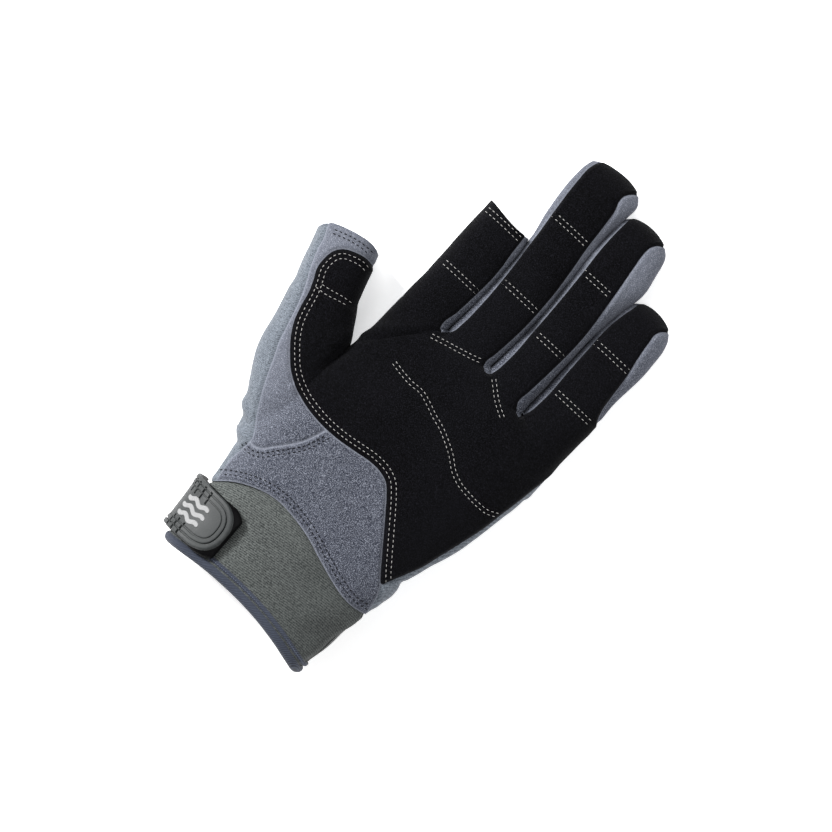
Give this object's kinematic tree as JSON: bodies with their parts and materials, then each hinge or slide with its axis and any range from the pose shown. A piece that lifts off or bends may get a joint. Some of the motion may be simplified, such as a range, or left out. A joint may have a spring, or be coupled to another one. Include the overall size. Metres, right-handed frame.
{
  "type": "sailing glove",
  "caption": "Left sailing glove, palm up: suede palm and finger fronts, stretch back, cut-off thumb and index, flexing fingers, neoprene cuff with a peel-off wrist strap.",
  "frame": {"origin": "on the flat of the stretch back, under the middle of the palm, where the glove rests on its back", "axes": "+Y along the fingers to their tips, +Z out of the palm, the thumb at -X"},
  "size_m": [0.13, 0.2253, 0.0387],
  "materials": {
    "black_suede": "short-napped black microfibre suede",
    "grey_suede": "speckled blue-grey microfibre suede",
    "stretch": "pale blue-grey four-way stretch knit",
    "neoprene": "knit-faced neoprene, fine diagonal rib, matte",
    "binding": "folded blue-grey stretch binding",
    "webbing": "woven black webbing, matte",
    "moulded_rubber": "moulded dark grey rubber, satin",
    "hook_and_loop": "hook and loop tape, matte"
  },
  "bodies": {
    "hand": {"back_panel": "stretch", "crotch_gusset": "stretch", "cuff_back": "neoprene", "cuff_binding": "binding", "cuff_front": "neoprene", "heel_panel": "grey_suede", "loop_patch": "hook_and_loop", "outseam_gusset": "stretch", "palm_overlay": "black_suede", "palm_panel": "black_suede", "thenar_panel": "grey_suede", "thumb_side_gusset": "stretch", "wrist_gusset": "stretch", "wrist_strap": "webbing"},
    "pull_strap": {"hook_patch": "hook_and_loop", "pull_tab": "moulded_rubber"},
    "thumb_base": {"thumb_base_back": "stretch", "thumb_base_front": "black_suede", "thumb_base_side": "grey_suede"},
    "thumb_tip": {"thumb_tip_back": "stretch", "thumb_tip_front": "black_suede", "thumb_tip_side": "grey_suede"},
    "index_base": {"index_base_back": "stretch", "index_base_front": "black_suede", "index_base_side": "grey_suede"},
    "index_middle": {"index_middle_back": "stretch", "index_middle_front": "black_suede", "index_middle_side": "grey_suede"},
    "middle_base": {"middle_base_back": "stretch", "middle_base_front": "black_suede", "middle_base_side_inner": "grey_suede", "middle_base_side_outer": "grey_suede"},
    "middle_middle": {"middle_middle_back": "stretch", "middle_middle_front": "black_suede", "middle_middle_side_inner": "grey_suede", "middle_middle_side_outer": "grey_suede"},
    "middle_tip": {"middle_tip_back": "stretch", "middle_tip_front": "black_suede"},
    "ring_base": {"ring_base_back": "stretch", "ring_base_front": "black_suede", "ring_base_side_inner": "grey_suede", "ring_base_side_outer": "grey_suede"},
    "ring_middle": {"ring_middle_back": "stretch", "ring_middle_front": "black_suede", "ring_middle_side_inner": "grey_suede", "ring_middle_side_outer": "grey_suede"},
    "ring_tip": {"ring_tip_back": "stretch", "ring_tip_front": "black_suede"},
    "pinky_base": {"pinky_base_back": "stretch", "pinky_base_front": "black_suede", "pinky_base_side_inner": "grey_suede", "pinky_base_side_outer": "grey_suede"},
    "pinky_middle": {"pinky_middle_back": "stretch", "pinky_middle_front": "black_suede", "pinky_middle_side_inner": "grey_suede", "pinky_middle_side_outer": "grey_suede"},
    "pinky_tip": {"pinky_tip_back": "stretch", "pinky_tip_front": "black_suede"}
  },
  "joints": [
    {"name": "strap_peel", "type": "hinge", "parent": "hand", "child": "pull_strap", "pos_m": [-0.04083, -0.084, 0.01263], "axis": [0, -1, 0], "range_deg": [0, 78]},
    {"name": "thumb_base_flex", "type": "hinge", "parent": "hand", "child": "thumb_base", "pos_m": [-0.05245, -0.00083, 0.0264], "axis": [0.9397, 0.342, 0], "range_deg": [0, 50]},
    {"name": "thumb_tip_flex", "type": "hinge", "parent": "thumb_base", "child": "thumb_tip", "pos_m": [-0.05799, 0.01206, 0.0256], "axis": [0.9397, 0.342, 0], "range_deg": [0, 60]},
    {"name": "index_base_flex", "type": "hinge", "parent": "hand", "child": "index_base", "pos_m": [-0.0252, 0.0298, 0.02115], "axis": [1, 0, 0], "range_deg": [0, 60]},
    {"name": "index_middle_flex", "type": "hinge", "parent": "index_base", "child": "index_middle", "pos_m": [-0.0251, 0.051, 0.01986], "axis": [1, 0, 0], "range_deg": [0, 75]},
    {"name": "middle_base_flex", "type": "hinge", "parent": "hand", "child": "middle_base", "pos_m": [-0.0029, 0.0313, 0.02158], "axis": [1, 0, 0], "range_deg": [0, 60]},
    {"name": "middle_middle_flex", "type": "hinge", "parent": "middle_base", "child": "middle_middle", "pos_m": [-0.0026, 0.061, 0.0196], "axis": [1, 0, 0], "range_deg": [0, 75]},
    {"name": "middle_tip_flex", "type": "hinge", "parent": "middle_middle", "child": "middle_tip", "pos_m": [-0.00462, 0.0933, 0.01758], "axis": [1, 0, 0], "range_deg": [0, 45]},
    {"name": "ring_base_flex", "type": "hinge", "parent": "hand", "child": "ring_base", "pos_m": [0.0192, 0.0284, 0.02117], "axis": [1, 0, 0], "range_deg": [0, 60]},
    {"name": "ring_middle_flex", "type": "hinge", "parent": "ring_base", "child": "ring_middle", "pos_m": [0.0192, 0.055, 0.0192], "axis": [1, 0, 0], "range_deg": [0, 75]},
    {"name": "ring_tip_flex", "type": "hinge", "parent": "ring_middle", "child": "ring_tip", "pos_m": [0.0192, 0.085, 0.018], "axis": [1, 0, 0], "range_deg": [0, 45]},
    {"name": "pinky_base_flex", "type": "hinge", "parent": "hand", "child": "pinky_base", "pos_m": [0.0416, 0.0252, 0.01998], "axis": [1, 0, 0], "range_deg": [0, 60]},
    {"name": "pinky_middle_flex", "type": "hinge", "parent": "pinky_base", "child": "pinky_middle", "pos_m": [0.0416, 0.0438, 0.0185], "axis": [1, 0, 0], "range_deg": [0, 75]},
    {"name": "pinky_tip_flex", "type": "hinge", "parent": "pinky_middle", "child": "pinky_tip", "pos_m": [0.04156, 0.0683, 0.01718], "axis": [1, 0, 0], "range_deg": [0, 45]}
  ],
  "couplings": [
    {"joint": "middle_tip_flex", "follows": "middle_middle_flex", "ratio": 0.6},
    {"joint": "ring_tip_flex", "follows": "ring_middle_flex", "ratio": 0.6},
    {"joint": "pinky_tip_flex", "follows": "pinky_middle_flex", "ratio": 0.6}
  ]
}
